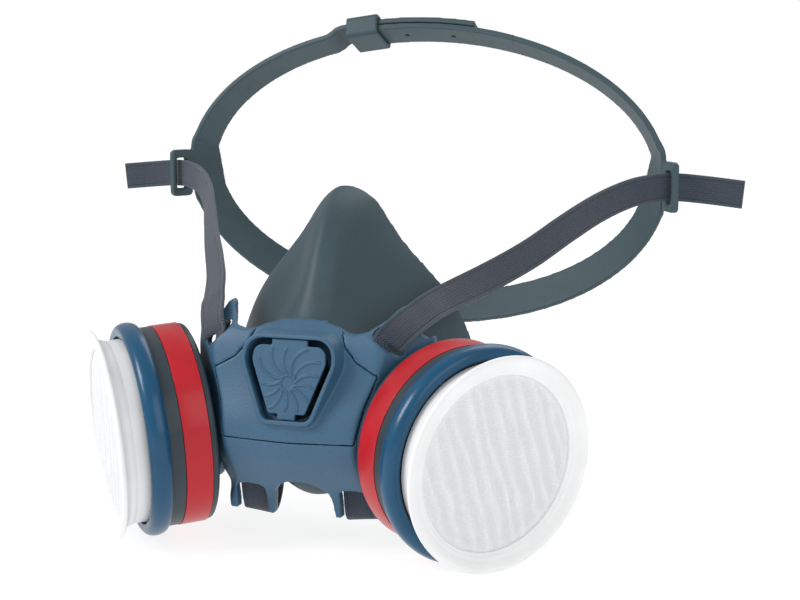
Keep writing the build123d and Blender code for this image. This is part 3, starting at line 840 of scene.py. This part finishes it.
# ---------------------------------------------------------------- head cradle
@dataclass
class Cradle:
    """Moulded head cradle: crown strap in two lapped halves, rear strap and two loops."""

    half_width: float = 122.0
    front_y: float = 98.0
    front_z: float = 57.5
    rise: float = 73.0
    crown_flare: float = 25.0
    rear_flare: float = 44.0
    side_flare: float = 34.0
    loop_trim: float = 0.9
    reach: float = 76.0
    slope: float = 79.0
    width: float = 17.0
    thickness: float = 2.8
    lap_start: float = 113.0
    lap_full: float = 109.5
    lap_end: float = 77.0
    tongue_start: float = 67.0
    voxel: float = 0.55

    def station(self, degrees: float, crown: bool, lift: float = 0.0) -> Station:
        """One station of a cradle strap, whose front edge runs along a half ellipse.

        Args:
            degrees: the angle along the ellipse.
            crown: True for the crown strap, False for the rear strap.
            lift: distance out of the strap's face.

        Returns:
            The point and the face normal there.
        """
        slope = radians(self.slope)
        rise = self.rise if crown else self.reach
        flare = radians(self.crown_flare if crown else self.rear_flare)
        up = Vector((0, 0, 1)) if crown else Vector((0, cos(slope), -sin(slope)))
        square = Vector((0, 1, 0)) if crown else Vector((0, sin(slope), cos(slope)))
        a = radians(degrees)
        edge = Vector((self.half_width * cos(a), self.front_y, self.front_z)) + up * (rise * sin(a))
        radial = (Vector((cos(a) / self.half_width, 0, 0)) + up * (sin(a) / rise)).normalized()
        normal = radial * cos(flare) + square * sin(flare)
        inward = square * cos(flare) - radial * sin(flare)
        centre = edge + inward * (self.width / 2) + normal * lift
        return tuple(centre), tuple(normal)

    def lift(self, degrees: float) -> float:
        """Height of the right half over the left half's tongue."""
        u = min(max((self.lap_start - degrees) / (self.lap_start - self.lap_full), 0), 1)
        return (self.thickness + 0.3) * u * u * (3 - 2 * u)

    def band(self, first: float, last: float, crown: bool, lapped: bool = False) -> bmesh.types.BMesh:
        """A stretch of strap between two angles along its arc."""
        count = max(int(abs(last - first) / 1.5), 4)
        angles = [first + (last - first) * i / count for i in range(count + 1)]
        stations = [self.station(a, crown, self.lift(a) if lapped else 0) for a in angles]
        return Route(stations).strap(self.width, self.thickness, count * 2)

    def junction(self) -> bmesh.types.BMesh:
        """The left side's bend from the crown strap into the rear strap, as one strap."""
        angles = [24, 20, 16, 12.5, 9.5]
        crown = [self.station(a, True) for a in angles]
        rear = [self.station(a, False) for a in reversed(angles)]
        return Route(crown + rear).strap(self.width, self.thickness, 60)

    def loop(self) -> bmesh.types.BMesh:
        """The left strap loop, cut from the CAD side piece in front of the straps' edge."""
        bm = node_mesh("left_cradle_side")
        flare = radians(self.side_flare)
        back = Vector((-sin(flare), cos(flare), 0))
        corner = Vector((self.half_width, self.front_y, self.front_z)) + back * self.loop_trim
        whole = bm.verts[:] + bm.edges[:] + bm.faces[:]
        bmesh.ops.bisect_plane(bm, geom=whole, plane_co=corner, plane_no=back, clear_outer=True)
        bmesh.ops.holes_fill(bm, edges=[e for e in bm.edges if e.is_boundary], sides=0)
        return bm

    def tongue(self) -> bmesh.types.BMesh:
        """The left half's free end, with its holes."""
        bm = node_mesh("left_crown_strap")
        centre, _ = self.station(self.tongue_start, True)
        ahead, _ = self.station(self.tongue_start + 1, True)
        normal = (Vector(ahead) - Vector(centre)).normalized()
        whole = bm.verts[:] + bm.edges[:] + bm.faces[:]
        bmesh.ops.bisect_plane(bm, geom=whole, plane_co=centre, plane_no=normal, clear_inner=True)
        bmesh.ops.holes_fill(bm, edges=[e for e in bm.edges if e.is_boundary], sides=0)
        return bm

    def build(self) -> None:
        """Makes the cradle."""
        left = [self.junction(), self.loop()]
        parts = [self.band(20, 160, crown=False), self.band(20, self.tongue_start + 0.4, crown=True),
                 self.band(160, self.lap_end, crown=True, lapped=True)]
        parts += [mirrored(piece) for piece in left] + left
        nodes = ["rear_strap", "right_crown_strap", "left_cradle_side", "right_cradle_side"]
        settle(joined(parts), "cradle_moulding", Slot.CRADLE, "cradle", nodes, Remesh(self.voxel, 9))
        settle(self.tongue(), "crown_tongue", Slot.CRADLE, "cradle", ["left_crown_strap"],
               Remesh(0.45, 4))
        settle(node_mesh("crown_keeper"), "crown_keeper_loop", Slot.CRADLE, "cradle", ["crown_keeper"],
               Remesh(0.4, 4))
        settle(node_mesh("crown_stud"), "crown_stud_peg", Slot.PORT, "cradle", ["crown_stud"],
               EdgeRound(0.3))


# ---------------------------------------------------------------- mask
@dataclass
class Mask:
    """Rubber facepiece, its rigid front and the valves."""

    rubber_voxel: float = 0.8
    carrier_voxel: float = 0.5
    cover_voxel: float = 0.45
    shield_voxel: float = 0.25

    def build(self) -> None:
        """Makes the mask's pieces."""
        for node, name, slot, work in (
                ("facepiece", "facepiece_moulding", Slot.MASK, Remesh(self.rubber_voxel, 16)),
                ("front_carrier", "front_carrier_moulding", Slot.CARRIER, Remesh(self.carrier_voxel, 4)),
                ("valve_cover", "valve_cover_moulding", Slot.CARRIER, Remesh(self.cover_voxel, 4)),
                ("swirl_shield", "swirl_shield_moulding", Slot.CARRIER, Remesh(self.shield_voxel, 3)),
                ("exhale_seat", "exhale_seat_moulded", Slot.PORT, EdgeRound(0.2)),
                ("exhale_disc", "exhale_disc_rubber", Slot.VALVE, EdgeRound(0.2))):
            body = "exhale_flap" if node == "exhale_disc" else "mask"
            settle(node_mesh(node), name, slot, body, [node], work)
        for node, slot, body in (("port_ring", Slot.PORT, "mask"), ("port_gasket", Slot.VALVE, "mask"),
                                 ("inhale_seat", Slot.PORT, "mask"),
                                 ("inhale_disc", Slot.VALVE, "{side}_inhale_flap")):
            mesh = node_mesh(f"left_{node}")
            settle_pair(mesh, f"{node}_moulded", slot, body, [node], EdgeRound(0.15))


# ---------------------------------------------------------------- studio
@dataclass
class Studio:
    """White floor, soft light and camera, in metres, with a sky that is brighter to the camera."""

    eye: Point = (0.2680, -0.7558, 0.1376)
    look: Point = (-0.3052, 0.9394, -0.1564)
    lens: float = 82.35
    paper: float = 0.3
    glow: float = 0.84
    sky: float = 0.55
    seen_sky: float = 1.0
    floor_half: float = 12.0
    floor_gap: float = 0.0005

    def light(self, name: str, place: Point, target: Point, size: float, power: float) -> None:
        """Adds one soft square lamp.

        Args:
            name: the lamp's name.
            place: where it hangs.
            target: what it points at.
            size: its side.
            power: its power in watts.
        """
        data = bpy.data.lights.new(name, "AREA")
        data.size, data.energy = size, power
        lamp = bpy.data.objects.new(name, data)
        lamp.location = place
        aim = Vector(target) - Vector(place)
        lamp.rotation_euler = aim.to_track_quat("-Z", "Y").to_euler()
        bpy.context.scene.collection.objects.link(lamp)

    def build(self) -> None:
        """Makes the floor, the lamps, the sky and the camera."""
        camera = bpy.data.objects.new("camera", bpy.data.cameras.new("camera"))
        camera.data.lens, camera.data.sensor_width = self.lens, 36
        camera.data.clip_end = 50
        camera.location = self.eye
        camera.rotation_euler = Vector(self.look).to_track_quat("-Z", "Y").to_euler()
        bpy.context.scene.collection.objects.link(camera)
        bpy.context.scene.camera = camera
        bm = bmesh.new()
        level = CAD_BOX[0][2] - self.floor_gap
        bmesh.ops.create_grid(bm, x_segments=1, y_segments=1, size=self.floor_half)
        bmesh.ops.translate(bm, vec=(0, 0, level), verts=bm.verts)
        mesh = bpy.data.meshes.new("floor")
        bm.to_mesh(mesh)
        bm.free()
        r = Recipe("floor_paper")
        r.set(Base_Color=(self.paper, self.paper, self.paper, 1), Roughness=0.9, Specular_IOR_Level=0.0)
        r.set(Emission_Color=(1, 1, 1, 1), Emission_Strength=self.glow)
        mesh.materials.append(r.material)
        floor = bpy.data.objects.new("floor", mesh)
        bpy.context.scene.collection.objects.link(floor)
        world = bpy.data.worlds.new("sky")
        world.use_nodes = True
        paint = world.node_tree.nodes["Background"]
        paint.inputs["Color"].default_value = (1, 1, 1, 1)
        seen = world.node_tree.nodes.new("ShaderNodeLightPath")
        strength = world.node_tree.nodes.new("ShaderNodeMapRange")
        strength.inputs["To Min"].default_value = self.sky
        strength.inputs["To Max"].default_value = self.seen_sky
        world.node_tree.links.new(seen.outputs["Is Camera Ray"], strength.inputs["Value"])
        world.node_tree.links.new(strength.outputs["Result"], paint.inputs["Strength"])
        bpy.context.scene.world = world
        bpy.context.scene.view_settings.view_transform = "Standard"
        self.light("key", (-0.85, -0.7, 0.8), (0, 0, 0), 0.55, 11.0)
        self.light("fill", (0.9, -0.6, 0.5), (0, 0, 0), 0.8, 3.0)
        self.light("back", (0.2, 0.9, 0.8), (0, 0, 0), 0.8, 4.0)


def main() -> None:
    """Builds everything in order."""
    logging.basicConfig(level=logging.INFO, format="%(message)s")
    for builder in (Studio(), Mask(), Cartridge(), Prefilter(), Webbing(), Cradle()):
        builder.build()
        log.info("%s done", type(builder).__name__)


if __name__ == "__main__":
    main()
